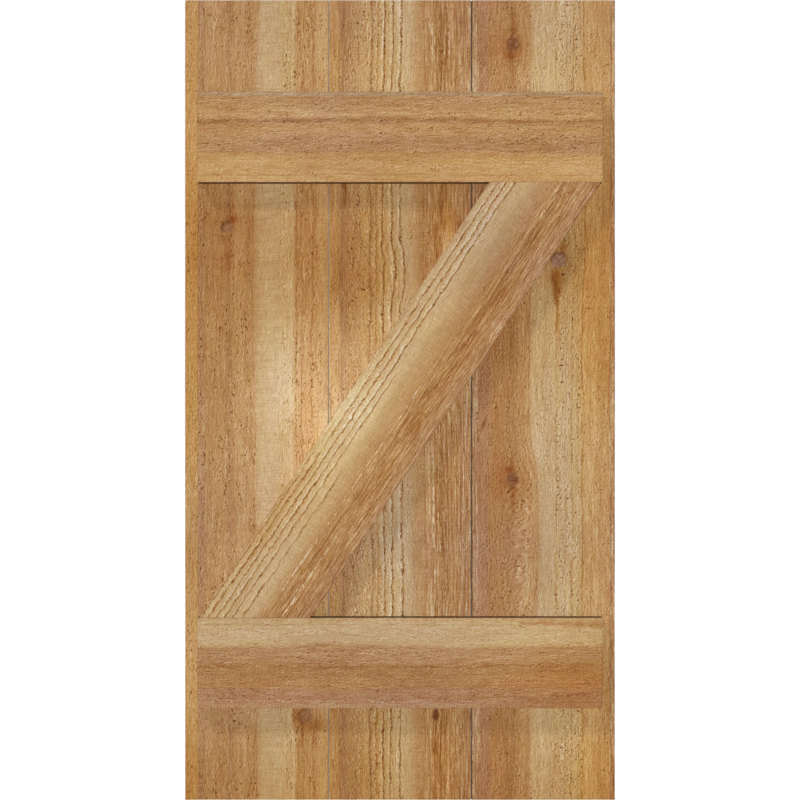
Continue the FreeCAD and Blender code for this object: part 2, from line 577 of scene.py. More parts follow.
# What a timber's material starts from; its bands lean through the thickness
def readWood(timber, place):
    wood = {"seed": timber["seed"] * 11, "wide": place["wide"]}
    wood["grain"] = readAttribute("grain")
    wood["spot"] = readAttribute("spot")
    wood["across"], _, wood["through"] = splitThree(wood["grain"])
    wood["torn"], wood["loose"], wood["side"] = splitThree(readAttribute("wear"))
    wood["stainAndShading"], wood["rust"], wood["faded"] = splitThree(readAttribute("stainAndShading"))
    leaning = total(wood["across"], times(wood["through"], timber["lean"]))
    wood["share"] = maths("DIVIDE", leaning, wood["wide"])
    wood["onEnd"] = fade(wood["side"], 0.60, 0.90)
    return wood


def bandStops(timber, wide):
    toneStops, finishStops = [], []
    for start, stop, tone, finish in timber["bands"]:
        for at in sorted({start, stop}):
            toneStops.append((at / wide, linearTone(tone)))
            finishStops.append((at / wide, finishes[finish] + (1.0,)))
    return toneStops, finishStops


# Stops of a ramp that is mid grey, lighter where the wood is darker
def greyStops(levels, wide):
    stops = [(0.0, 0.0)] + [(max(0.0, at / wide), depth) for at, depth in levels] + [(1.0, 0.0)]
    return [(place, (0.5 + depth / 4,) * 3 + (1.0,)) for place, depth in stops]


# A line falls off to both sides
def lineLevels(lines):
    levels = []
    for at, half, depth in lines:
        levels += [(at - half, 0.0), (at, depth), (at + half, 0.0)]
    return levels


# A torn groove has a pale crest, then a thin dark cut: the wood's own colour with a painted highlight on
# the crest and painted shade in the cut
def grooveLevels(grooves):
    profile = ((-3.8, 0.0), (-1.5, -0.42), (-0.75, 0.0), (0.0, 2.3), (0.85, 0.0))
    return [(groove["at"] + shift, depth) for groove in grooves for shift, depth in profile]


def readGrey(value, levels, wide):
    return times(minus(toneRamp(value, greyStops(levels, wide)), 0.5), 4.0)


# Single lines, broken along their length, and jagged grooves
def cutLines(wood, timber):
    share, wide = wood["share"], wood["wide"]
    lines = readGrey(share, lineLevels(timber["lines"]), wide)
    broken = fade(grainNoise(wood, "break"), 0.30, 0.62)
    jagged = minus(grainNoise(wood, "jag"), 0.5)
    jagged = total(share, times(jagged, 3.4 / wide))
    grooves = readGrey(jagged, grooveLevels(timber.get("grooves", [])), wide)
    ripped = fade(grainNoise(wood, "rip"), 0.36, 0.60)
    grooves = times(grooves, wood["torn"], scaled(ripped, 0.65, 0.55))
    return total(times(lines, broken), grooves)


# How far the marks darken the wood: growth with the band's finish, and the least
strengths = {"fibre": (0.65, 0.50), "stripe": (1.60, 0.12), "paintedEmboss": (0.40, 0.80), "kerf": (-0.42, 0.66)}
fuzzDepth = -0.34
heights = {"fibre": 0.30, "grit": -0.55, "fleck": -0.16, "fuzz": 0.14}


# Fibres, stripes, torn wood painted with emboss light and shade, saw kerfs, dark flecks and pale fuzz
def sawnMarks(wood, timber, finish):
    coarse, tilt = timber["coarse"], timber["tilt"]
    flecked, lined, fuzzy = splitThree(finish)
    fibre = grainNoise(wood, "fibre", 0, coarse)
    stripe = grainNoise(wood, "stripe", 0, coarse)
    grit = grainNoise(wood, "chip", 0, coarse, tilt)
    # Painted light and shade: a shifted copy of the chip noise less the noise itself, as if torn fibres
    # were lit from the upper left
    beside = grainNoise(wood, "chip", 0, coarse, tilt, (-0.8, -0.25))
    tearing = fade(grainNoise(wood, "tearing"), 0.38, 0.64)
    paintedEmboss = maths("MAXIMUM", minus(beside, grit), -0.09)
    paintedEmboss = times(paintedEmboss, scaled(tearing, 1.3, 0.45))
    kerf = grainNoise(wood, "kerf")
    patch = fade(grainNoise(wood, "patch"), 0.42, 0.60)
    patch = times(patch, scaled(tearing, 0.7, 0.5))
    fleck = fade(grainNoise(wood, "fleck", 0, coarse, tilt), 0.59, 0.69)
    fleck = times(fleck, patch, flecked)
    fuzz = fade(grainNoise(wood, "fuzz", 0, coarse, tilt), 0.57, 0.72)
    fuzz = times(fuzz, scaled(fuzzy, 0.75, 0.2))
    depth = total(
        times(minus(fibre, 0.5), scaled(lined, *strengths["fibre"])),
        times(minus(stripe, 0.5), scaled(lined, *strengths["stripe"])),
        times(paintedEmboss, scaled(flecked, *strengths["paintedEmboss"])),
        times(minus(kerf, 0.5), scaled(flecked, *strengths["kerf"])),
        times(fleck, timber["fleckDepth"]),
        times(fuzz, fuzzDepth),
    )
    raised = {"fibre": fibre, "grit": grit, "fleck": fleck, "fuzz": fuzz}
    relief = total(*(times(raised[mark], height) for mark, height in heights.items()))
    return depth, relief, fibre


# Year rings round the pith, as they show on the ends
def yearRings(wood, pith):
    du = minus(wood["across"], pith[0])
    dw = minus(wood["through"], pith[1])
    radius = maths("SQRT", total(times(du, du), times(dw, dw)))
    ring = maths("SINE", times(radius, math.tau / 2.8))
    return times(fade(ring, 0.0, 1.0), 0.5, wood["onEnd"])


# Rose or yellow fibres, faded and rusty places, pale shreds
def weathered(colour, wood, timber):
    hue = toneRamp(grainNoise(wood, "hue"), hues)
    colour = blendTones(1.0, colour, hue, "MULTIPLY")
    tint = toneRamp(scaled(wood["faded"], 0.25, 0.5), fading)
    colour = blendTones(1.0, colour, tint, "MULTIPLY")
    colour = blendTones(times(wood["rust"], 0.8), colour, rusty, "MULTIPLY")
    strips = [(shred["at"], 0.9, 1.0) for shred in timber.get("shreds", [])]
    shreds = readGrey(wood["share"], lineLevels(strips), wood["wide"])
    dash = fade(grainNoise(wood, "dash"), 0.51, 0.59)
    return blendTones(times(shreds, wood["loose"], dash), colour, linearTone("bleached"))


# Painted light in a tight joint, a pale grey line, and painted shade, a thin dark line along the
# battens' edges where they lie across, on the face alone
def paintedLightAndShade(colour, wood, timber, place):
    across, along, _ = splitThree(wood["spot"])
    onFace = fade(wood["through"], 1.0, 0.4)
    # Painted light: a pale grey line along the joint
    for edge, half in timber.get("paintedJointLight", []):
        off = maths("ABSOLUTE", minus(across, edge))
        paintedJointLight = times(fade(off, half + 0.15, half - 0.15), onFace)
        colour = blendTones(paintedJointLight, colour, linearTone("greyLine"))
    # Painted shade: a thin dark line on the face along each batten's edge
    for corner, (start, stop) in place.get("corners", []):
        off = maths("ABSOLUTE", minus(along, corner))
        past = times(fade(across, start, start + 0.6), fade(across, stop, stop - 0.6))
        paintedShade = times(fade(off, 0.70, 0.30), past, onFace, 0.9)
        colour = blendTones(paintedShade, colour, linearTone("paintedShade"))
    return colour


# A knot has a grainy core with faint rings and a broken dark rim, stronger on its dark side
def knotty(colour, wood, timber):
    across, along, _ = splitThree(wood["spot"])
    unrest = times(minus(grainNoise(wood, "knotEdge"), 0.5), 0.8)
    for number, knot in enumerate(timber.get("knots", [])):
        radius = knot["radius"]
        du = maths("DIVIDE", minus(across, knot["at"][0]), radius)
        dv = maths("DIVIDE", minus(along, knot["at"][1]), radius * knot.get("tall", 1.0))
        reach = maths("SQRT", total(times(du, du), times(dv, dv)))
        reach = total(reach, unrest)  # 1 at the knot's edge
        darkU, darkV = knot.get("darkSide", (0.0, 0.0))
        darkSide = total(times(du, darkU), times(dv, darkV), 0.5)
        pith = minus(grainNoise(wood, "knotCore", number), 0.5)
        year = times(maths("SINE", times(reach, 16.0)), 0.06)
        core = deepen(linearTone(knot["tone"]), total(times(pith, 1.3), year, 1.0))
        inside = minus(1.0, fade(reach, 0.80, 1.08))
        colour = blendTones(times(inside, knot.get("share", 0.85)), colour, core)
        edge = times(minus(reach, 1.0), 4.0)
        edge = maths("POWER", math.e, times(edge, edge, -1.0))
        ragged = fade(grainNoise(wood, "knotRim", number), 0.22, 0.46)
        rim = times(edge, ragged, fade(darkSide, 0.0, 1.0), knot["rim"])
        colour = blendTones(rim, colour, linearTone("bark"))
    return colour


def shadedEdges(colour, wood, timber):
    onSide = minus(fade(wood["side"], 0.25, 0.48), wood["onEnd"])
    shades = {**edgeShades, **timber.get("edgeShades", {})}
    colour = blendTones(onSide, colour, shades["side"], "MULTIPLY")
    colour = blendTones(wood["onEnd"], colour, shades["end"], "MULTIPLY")
    # Painted shade: the long side of a batten that faces the middle of the shutter darkens to near black
    # towards the boards
    if "paintedShadeSide" in timber:
        thatSide = fade(wood["share"], 1 - timber["paintedShadeSide"], timber["paintedShadeSide"])
        paintedShade = times(onSide, thatSide, fade(wood["through"], 1.0, 9.0), 0.9)
        colour = blendTones(paintedShade, colour, linearTone("paintedShade"))
    return colour


def timberMaterial(name, timber, place):
    material, shader = newMaterial(name)
    wood = readWood(timber, place)
    toneStops, finishStops = bandStops(timber, wood["wide"])
    finish = toneRamp(wood["share"], finishStops)
    sawn, relief, fibre = sawnMarks(wood, timber, finish)
    rings = yearRings(wood, timber["pith"])
    depth = total(wood["stainAndShading"], cutLines(wood, timber), sawn, rings, woodLook["depth"])
    depth = maths("MAXIMUM", depth, woodLook["palest"])
    colour = deepen(toneRamp(wood["share"], toneStops), depth)
    colour = weathered(colour, wood, timber)
    colour = paintedLightAndShade(colour, wood, timber, place)
    colour = knotty(colour, wood, timber)
    colour = shadedEdges(colour, wood, timber)
    rough = scaled(fibre, 0.22, 0.68)
    plug(shader, {"Base Color": colour, "Roughness": rough, "Specular IOR Level": woodLook["shine"]})
    addBump(shader, relief, woodLook["bump"], woodLook["relief"] * mm)
    return material


def makeTimber(node, materialName, timber, place):
    piece = sawnTimber("sawn_" + node, timber, place)
    piece.data.materials.append(timberMaterial(materialName, timber, place))
    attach(piece, "root")
    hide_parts(node)
    print("timber made:", node)


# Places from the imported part, in mm along the timber's own axes
def screwPlaces(low, high):
    places = []
    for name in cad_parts:
        if "_screw_" in name:
            screwLow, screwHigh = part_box(name)
            centre = (screwLow + screwHigh) / 2
            if low.x < centre.x < high.x:
                places.append(((centre.x - low.x) / mm, (high.z - centre.z) / mm))
    return places


def boardPlace(name, timber):
    low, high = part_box(name)
    index = boardNames.index(name)
    crossings = []
    # The battens' edges across the board, where the painted shade lines lie
    for batten, edge in (("top_batten", 0), ("bottom_batten", 1)):
        ends = [(end.x - low.x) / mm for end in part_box(batten)]
        crossings.append(((high.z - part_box(batten)[edge].z) / mm, ends))
    return {
        "corner": (low.x, low.y, high.z),
        "axes": [(1, 0, 0), (0, 0, -1), (0, 1, 0)],
        "wide": (high.x - low.x) / mm,
        "long": (high.z - low.z) / mm,
        "thick": (high.y - low.y) / mm,
        "openings": timber["openings"],
        "joints": (index > 0, index < len(boardNames) - 1),
        "corners": crossings,
        "holes": screwPlaces(low, high),
    }


def battenPlace(name):
    low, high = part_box(name)
    return {
        "corner": (low.x, low.y, high.z),
        "axes": [(0, 0, -1), (1, 0, 0), (0, 1, 0)],
        "wide": (high.z - low.z) / mm,
        "long": (high.x - low.x) / mm,
        "thick": (high.y - low.y) / mm,
    }


def bracePlace(timber):
    upperLow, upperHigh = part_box("top_batten")
    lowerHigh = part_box("bottom_batten")[1]
    span = (upperHigh.x - upperLow.x) / mm - 2 * timber["tipInset"]
    rise = (upperLow.z - lowerHigh.z) / mm
    angle = math.atan2(rise, span) + math.asin(timber["wide"] / math.hypot(span, rise))
    sine, cosine = math.sin(angle), math.cos(angle)
    return {
        "corner": (upperLow.x + timber["tipInset"] * mm, upperLow.y, lowerHigh.z),
        "axes": [(sine, 0, -cosine), (cosine, 0, sine), (0, 1, 0)],
        "wide": timber["wide"],
        "long": rise / sine,
        "thick": (upperHigh.y - upperLow.y) / mm,
        "slope": cosine / sine,
    }


# In the timbers' dictionaries a band is where it starts and stops, its tone and its finish. A line is
# its place, its half width and its depth, dark above 0. Casts (depth) and fades run along the length;
# on the boards the casts are partly painted shading. Stains, a few of them a painted pool of light,
# streaks, drifts and knots have their place across and along; faded is greyer above 0.

# Boards: bands and lines in mm from the left edge, lengths in mm from the top
leftBoard = {
    "seed": 1,
    "cells": (148, 424),  # of the face's grid, across and along
    "openings": (0.0, 0.03),  # of the joints at the left and right edge
    "lean": 0.45,  # of the bands through the thickness
    "still": (14, 132),  # the grain sways between these
    "sway": 1.8,
    "ripple": 1.0,
    "pith": (70, 75),  # middle of the year rings, across and through
    "coarse": 1.1,
    "tilt": 0.08,  # of the flecks
    "fleckDepth": 1.6,
    "bands": [
        (0.0, 11.9, "honey", "dotted"),
        (12.5, 18, "rose", "flecked"),
        (21, 38, "tan", "flecked"),
        (42, 42, "rose", "flecked"),
        (46, 46, "tan", "flecked"),
        (50, 56, "lightTan", "flecked"),
        (60, 66, "tan", "flecked"),
        (69, 69, "oat", "smooth"),
        (74, 89, "cream", "smooth"),
        (92, 103, "straw", "fuzzy"),
        (106, 124, "amber", "dashed"),
        (128, 136, "gold", "dotted"),
    ],
    # Painted light: a pale grey line along the right joint
    "paintedJointLight": [(136.5, 0.45)],  # place and half width
    "lines": [
        (12.2, 0.8, 0.2), (43, 2.6, 0.06), (102, 0.9, -0.3), (106.8, 0.8, 0.4), (112.1, 0.8, 0.5),
        (121.6, 0.8, 0.45),
    ],
    # Partly the board's own tone, partly painted shading: lighter just above the top batten, darker
    # below each batten and towards the bottom end
    "castsAndShading": [
        (0, 0.12), (45, 0.05), (85, 0.01), (150, 0.1), (195, 0.22), (250, 0.28), (300, 0.14),
        (335, 0.04), (480, 0.0), (640, -0.03), (690, 0.11), (762, 0.17),
    ],
    "fades": [
        (0, 0.45), (40, 0.35), (75, 0.1), (420, 0.0), (500, 0.35), (560, 0.1), (690, 0.25),
        (745, -0.25),
    ],
    "stainsAndPaintedLight": [
        # Painted light: a pale pool beside the brace's upper left side
        dict(at=(105, 392), size=(42, 75), depth=-0.34, rust=0.5),
        dict(at=(117, 390), size=(12, 70), depth=-0.1, faded=-0.5),
        dict(at=(122, 35), size=(16, 55), depth=-0.1),
        dict(at=(6, 120), size=(9, 60), depth=-0.13),
        dict(at=(8, 345), size=(18, 45), depth=0.08),
        dict(at=(6, 520), size=(12, 65), faded=1.0),
        dict(at=(6, 640), size=(10, 70), depth=-0.11),
        dict(at=(95, 195), size=(35, 30), faded=0.3),
        dict(at=(45, 285), size=(38, 110), faded=-0.3),
        dict(at=(122, 735), size=(15, 35), faded=-0.35),
        dict(at=(6, 455), size=(9, 45), depth=-0.08),
        dict(at=(50, 212), size=(30, 16), depth=0.16),
        dict(at=(131, 295), size=(8, 45), depth=0.13),
        # Painted light: a pale pool beside the brace's upper left side
        dict(at=(132, 405), size=(9, 24), depth=-0.18),
        dict(at=(97, 372), size=(9, 50), depth=-0.15),
        dict(at=(96, 355), size=(26, 50), depth=-0.09, faded=0.1),
        dict(at=(121, 370), size=(14, 55), depth=-0.04, rust=0.6, faded=0.3),
        dict(at=(62, 312), size=(9, 26), depth=0.1),
        dict(at=(48, 415), size=(9, 40), depth=-0.07),
        dict(at=(6, 525), size=(9, 35), depth=0.1),
        dict(at=(72, 310), size=(5, 45), depth=0.12),
        dict(at=(48, 525), size=(10, 15), depth=-0.12),
        dict(at=(96, 716), size=(9, 16), depth=-0.1),
        dict(at=(45.6, 209.2), size=(4.6, 3.6), depth=0.55, rust=1.0),
        dict(at=(120, 691), size=(11, 6), depth=0.45, rust=0.5),
        dict(at=(106, 681), size=(4, 8), depth=0.35, rust=0.4),
    ],
    "streaks": [
        dict(start=(42.5, 150), stop=(44.5, 212), half=(2.6, 3.4), depth=0.22, rust=0.4),
        dict(start=(39.0, 222), stop=(41, 262), half=(5.4, 3.6), depth=0.26, rust=0.5),
    ],
    "knots": [
        dict(at=(40.4, 216.7), radius=5.4, tone="knotTan", rim=0.9, darkSide=(-0.6, -0.5)),
        dict(at=(115.5, 682), radius=6.8, tone="knotTan", rim=0.5, darkSide=(-0.5, -0.3), share=0.75),
    ],
}

middleBoard = {
    "seed": 2,
    "cells": (192, 400),
    "openings": (0.03, 0.6),
    "lean": -0.4,
    "still": (2, 134),
    "sway": 1.6,
    "ripple": 0.9,
    "tremble": (1.3, 24, 82),
    "pith": (55, -60),
    "coarse": 0.9,
    "tilt": -0.35,
    "fleckDepth": 1.15,
    "bands": [
        (0.0, 8, "amber", "dashed"),
        (11.5, 11.5, "rose", "dashed"),
        (17, 17, "rose", "flecked"),
        (22, 22, "tan", "chipped"),
        (29, 29, "lightTan", "chipped"),
        (36, 36, "gold", "chipped"),
        (41, 41, "lightTan", "chipped"),
        (46, 46, "gold", "chipped"),
        (58, 58, "straw", "ridged"),
        (72, 72, "cream", "ridged"),
        (76, 76, "cream", "dotted"),
        (81, 81, "oat", "dotted"),
        (88, 88, "tan", "smooth"),
        (96, 99, "tan", "lined"),
        (103, 103, "deepAmber", "lined"),
        (109, 109, "russet", "lined"),
        (115, 122, "tan", "lined"),
        (127, 136, "pinkTan", "lined"),
    ],
    # Painted light: a pale grey line along the left joint
    "paintedJointLight": [(0.0, 0.65)],
    "lines": [
        (13.5, 1.5, 0.2), (91, 1.0, 0.35), (108, 0.9, 0.35), (113.3, 1.1, 0.45), (117.5, 0.8, 0.3),
        (122.5, 0.7, 0.35), (126, 0.7, 0.3), (129.5, 0.7, 0.35), (132.5, 0.7, 0.3),
    ],
    # Partly the board's own tone, partly painted shading: lighter just above the top batten, darker
    # below each batten and towards the bottom end
    "castsAndShading": [
        (0, 0.05), (45, 0.0), (85, -0.08), (150, 0.12), (195, 0.19), (265, 0.32), (300, 0.08),
        (335, -0.1), (480, 0.06), (560, 0.02), (590, -0.05), (690, 0.11), (762, 0.18),
    ],
    "fades": [
        (0, 0.35), (30, 0.3), (65, -0.3), (120, 0.0), (470, 0.0), (510, 0.5), (560, 0.1),
        (700, -0.2), (762, -0.3),
    ],
    "drifts": [dict(at=(70, 259), size=(12, 26), shift=5.0)],
    "stainsAndPaintedLight": [
        # Painted light: a pale pool beside the brace's upper left side
        dict(at=(8, 350), size=(34, 52), depth=-0.26, rust=0.45, faded=-0.4),
        dict(at=(62, 502), size=(24, 52), faded=0.9),
        dict(at=(115, 535), size=(26, 50), faded=0.3),
        dict(at=(30, 260), size=(24, 78), faded=-0.55),
        dict(at=(68, 225), size=(26, 50), faded=0.4),
        dict(at=(112, 215), size=(9, 42), depth=-0.06, faded=-1.1),
        dict(at=(28, 728), size=(18, 40), faded=-0.4),
        dict(at=(108, 725), size=(9, 60), faded=-1.0),
        dict(at=(10, 25), size=(14, 42), depth=0.14),
        dict(at=(48, 60), size=(9, 50), depth=-0.09),
        dict(at=(128, 75), size=(9, 20), depth=-0.12),
        dict(at=(128, 190), size=(11, 15), depth=-0.15),
        dict(at=(112, 240), size=(9, 16), depth=-0.52),
        dict(at=(98, 535), size=(10, 45), depth=0.09),
        dict(at=(82, 262), size=(10, 38), depth=-0.1),
        dict(at=(50, 312), size=(22, 18), depth=-0.09),
        # Painted light: a pale pool beside the brace's upper left side
        dict(at=(8, 382), size=(14, 22), depth=-0.22),
        dict(at=(64, 465), size=(9, 13), depth=-0.15),
        dict(at=(45, 288), size=(12, 16), depth=-0.1),
        dict(at=(60, 578), size=(14, 12), depth=-0.1),
        dict(at=(82, 525), size=(8, 38), depth=0.2),
        dict(at=(74, 728), size=(22, 40), depth=-0.12),
        dict(at=(126, 725), size=(12, 30), depth=-0.12),
    ],
    "streaks": [
        dict(start=(102.3, 686), stop=(102.0, 735), half=(1.6, 1.0), depth=0.45, rust=0.6),
        dict(start=(15, 172), stop=(16, 200), half=(2.2, 1.8), depth=0.55, rust=0.6),
    ],
    "grooves": [
        dict(at=40.6, depth=0.42),
        dict(at=46.4, depth=0.32),
        dict(at=52.8, depth=0.9),
        dict(at=60.5, depth=1.0),
        dict(at=69.0, depth=1.0),
    ],
    "shreds": [
        dict(at=99.5, span=(10, 95)),
        dict(at=99.5, span=(420, 640)),
        dict(at=115, span=(30, 70)),
    ],
    "knots": [dict(at=(102.2, 681), radius=2.8, tall=2.1, tone="knotDark", rim=0.5, share=0.95)],
}

rightBoard = {
    "seed": 3,
    "cells": (148, 424),
    "openings": (0.6, 0.0),
    "lean": 0.4,
    "still": (4, 136),
    "sway": 1.8,
    "ripple": 1.0,
    "pith": (80, 60),
    "coarse": 1.25,
    "tilt": 0.12,
    "fleckDepth": 1.3,
    "bands": [
        (0.0, 5, "mauve", "lined"),
        (7.5, 15, "dusk", "grainy"),
        (19, 31, "umber", "grainy"),
        (38, 38, "russet", "grainy"),
        (46, 53, "tan", "flecked"),
        (56, 56, "oat", "fuzzy"),
        (61, 77, "cream", "flecked"),
        (82, 82, "straw", "chipped"),
        (88, 88, "cream", "chipped"),
        (97, 104.5, "straw", "chipped"),
        (106.5, 119, "gold", "dashed"),
        (123, 130, "amber", "dotted"),
        (133, 136, "rose", "lined"),
    ],
    "lines": [
        (4.5, 0.9, -0.25), (55, 1.2, 0.3), (80.5, 0.9, 0.45), (89.6, 0.8, 0.4), (96, 0.9, 0.65),
        (102.5, 0.7, 0.35), (106, 0.9, 0.9), (132.5, 0.8, 0.3), (136.2, 0.6, 0.6),
    ],
    # Partly the board's own tone, partly painted shading: lighter just above the top batten, darker
    # below each batten and towards the bottom end
    "castsAndShading": [
        (0, 0.09), (50, 0.06), (85, -0.07), (150, 0.12), (195, 0.22), (245, 0.28), (285, 0.15),
        (335, 0.08), (390, -0.02), (550, 0.0), (590, -0.08), (690, 0.02), (762, 0.12),
    ],
    "fades": [
        (0, 0.3), (40, 0.2), (65, -0.2), (120, -0.1), (350, -0.15), (480, 0.2), (515, 0.5),
        (560, 0.1), (750, -0.4),
    ],
    "drifts": [dict(at=(58, 515), size=(14, 80), shift=11.0)],
    "stainsAndPaintedLight": [
        dict(at=(88, 246), size=(20, 34), depth=0.36),
        dict(at=(97, 238), size=(7, 14), depth=-0.2),
        dict(at=(35, 540), size=(42, 48), faded=0.4),
        dict(at=(88, 430), size=(20, 90), faded=0.35),
        dict(at=(113, 310), size=(14, 105), faded=-0.8),
        dict(at=(113, 735), size=(20, 45), faded=-0.7),
        dict(at=(85, 25), size=(45, 30), faded=0.2),
        dict(at=(54, 74), size=(20, 16), depth=-0.14),
        dict(at=(130, 40), size=(9, 40), depth=-0.1),
        dict(at=(47, 335), size=(10, 45), depth=0.09),
        dict(at=(130, 310), size=(9, 60), faded=-0.4),
        dict(at=(131, 262), size=(7, 28), depth=-0.16),
        dict(at=(131, 120), size=(7, 50), depth=-0.08),
        dict(at=(64, 432), size=(9, 17), depth=-0.16),
        dict(at=(5, 460), size=(6, 35), depth=0.24),
        dict(at=(108, 525), size=(18, 36), depth=0.2),
        dict(at=(70, 715), size=(22, 16), depth=-0.04),
        dict(at=(5, 45), size=(7, 40), depth=0.05),
        dict(at=(37, 43), size=(14, 14), depth=0.1, rust=0.55),
        dict(at=(37, 53), size=(5, 3), depth=0.4, rust=0.8),
        dict(at=(34, 455), size=(18, 14), depth=0.1, rust=0.6),
        dict(at=(36, 447.5), size=(4, 2.6), depth=0.45, rust=0.8),
        dict(at=(40, 466), size=(4, 5), depth=0.4, rust=0.6),
        dict(at=(87, 235), size=(3.4, 6), depth=0.45, rust=0.3, tilt=-0.3),
        dict(at=(11.5, 404), size=(1.6, 6), depth=0.6, rust=0.4, tilt=-0.3),
        dict(at=(68, 530), size=(12, 45), depth=0.1),
    ],
    "streaks": [
        dict(start=(77.5, 255), stop=(81.0, 294), half=(4.8, 1.8), depth=0.8, rust=0.9),
        dict(start=(86.0, 255), stop=(82.5, 288), half=(5.0, 1.4), depth=0.32, rust=0.6),
        dict(start=(81.2, 284), stop=(82.0, 318), half=(1.9, 1.6), depth=0.6, rust=0.7),
        dict(start=(82.0, 312), stop=(82.2, 345), half=(2.0, 1.2), depth=0.18, rust=0.3),
        dict(start=(39.8, 8), stop=(39.4, 40), half=(2.6, 3.2), depth=0.26, rust=0.4),
        dict(start=(39, 52), stop=(39.2, 88), half=(2.4, 2.4), depth=0.14, rust=0.2),
        dict(start=(39, 464), stop=(39.4, 490), half=(2.2, 1.2), depth=0.34, rust=0.5),
        dict(start=(38.5, 432), stop=(38.0, 452), half=(1.4, 1.6), depth=0.16, rust=0.3),
    ],
    "knots": [
        dict(at=(38.7, 41.8), radius=6.2, tall=1.15, tone="knotRed", rim=0.3, share=0.85),
        dict(at=(82.6, 248), radius=7.8, tone="knotGrey", rim=0.6, darkSide=(0.1, -0.8)),
        dict(at=(38.7, 457.4), radius=5.6, tall=1.15, tone="knotRed", rim=0.3, share=0.88),
    ],
}

for name, timber in zip(boardNames, (leftBoard, middleBoard, rightBoard)):
    makeTimber(name, name + "Timber", timber, boardPlace(name, timber))

# Battens: bands in mm from the top edge, lengths in mm from the left end
topBatten = {
    "seed": 4,
    "cells": (108, 240),
    "lean": 0.5,
    "still": (1, 85),
    "sway": 1.6,
    "ripple": 1.0,
    "pith": (30, 50),
    "coarse": 1.3,
    "tilt": 0.18,
    "fleckDepth": 1.3,
    "bands": [
        (0.0, 3, "greyTan", "flecked"),
        (5, 17, "tan", "flecked"),
        (20, 24, "lightTan", "flecked"),
        (27, 30, "rose", "flecked"),
        (33, 39, "tan", "flecked"),
        (44, 57, "rose", "flecked"),
        (60, 60, "amber", "dotted"),
        (66, 85.7, "gold", "dotted"),
    ],
    "lines": [(28, 2.6, 0.36), (79, 1.0, 0.35)],
    "castsAndShading": [(0, 0.02), (70, -0.02), (190, 0.06), (290, 0.02), (384, 0.0)],
    "fades": [(0, 0.0), (130, 0.3), (200, 0.0), (384, 0.0)],
    "stainsAndPaintedLight": [
        dict(at=(12, 200), size=(7, 150), faded=0.3),
        dict(at=(21, 190), size=(5, 70), depth=-0.08),
        dict(at=(28, 335), size=(4, 60), depth=-0.1, faded=-0.3),
        dict(at=(72, 190), size=(18, 85), depth=0.1, faded=0.25),
        dict(at=(4, 200), size=(8, 260), faded=0.5),
        dict(at=(60, 180), size=(6, 70), depth=0.1),
        dict(at=(50, 20), size=(20, 28), depth=0.06),
        dict(at=(82, 250), size=(6, 160), depth=0.05),
    ],
    # Painted shade on the lower long side
    "paintedShadeSide": 1,
}

bottomBatten = {
    "seed": 5,
    "cells": (108, 240),
    "lean": 0.5,
    "still": (1, 85),
    "sway": 2.2,
    "ripple": 1.2,
    "pith": (60, -45),
    "coarse": 1.3,
    "tilt": 0.1,
    "fleckDepth": 1.05,
    "bands": [
        (0.0, 0.0, "oat", "smooth"),
        (5, 22, "cream", "dotted"),
        (26, 26, "oat", "fuzzy"),
        (30, 41, "rose", "flecked"),
        (45, 55, "russet", "dotted"),
        (59, 67, "umber", "dotted"),
        (70, 80, "dusk", "dotted"),
        (82, 85.7, "pinkTan", "smooth"),
    ],
    "lines": [(5.7, 0.8, 0.3), (28.6, 1.2, 0.25), (46.7, 1.2, 0.3), (79.5, 1.0, -0.25)],
    "castsAndShading": [(0, 0.03), (290, 0.02), (384, 0.07)],
    "fades": [(0, 0.2), (120, 0.25), (230, 0.25), (290, 0.0), (384, -0.2)],
    "drifts": [dict(at=(26, 135), size=(9, 50), shift=-3.0)],
    "stainsAndPaintedLight": [
        dict(at=(5, 230), size=(6, 120), depth=-0.05),
        dict(at=(14, 150), size=(14, 150), faded=0.25),
        dict(at=(60, 345), size=(30, 65), faded=-0.9),
        dict(at=(50, 60), size=(18, 40), faded=-0.3),
        dict(at=(42, 285), size=(18, 55), depth=-0.09),
        dict(at=(76, 345), size=(14, 60), depth=0.12),
        dict(at=(83, 260), size=(6, 190), depth=0.08, faded=0.7),
        dict(at=(82, 310), size=(5, 70), depth=0.06),
        dict(at=(50, 170), size=(9, 65), depth=0.08),
        dict(at=(60, 225), size=(12, 45), faded=0.3),
    ],
    "streaks": [dict(start=(4.5, 300), stop=(6.5, 400), half=(1.0, 3.6), depth=0.35, rust=0.5)],
    # Painted shade on the upper long side
    "paintedShadeSide": 0,
}

for name, timber in (("top_batten", topBatten), ("bottom_batten", bottomBatten)):
    makeTimber(name, name + "Timber", timber, battenPlace(name))

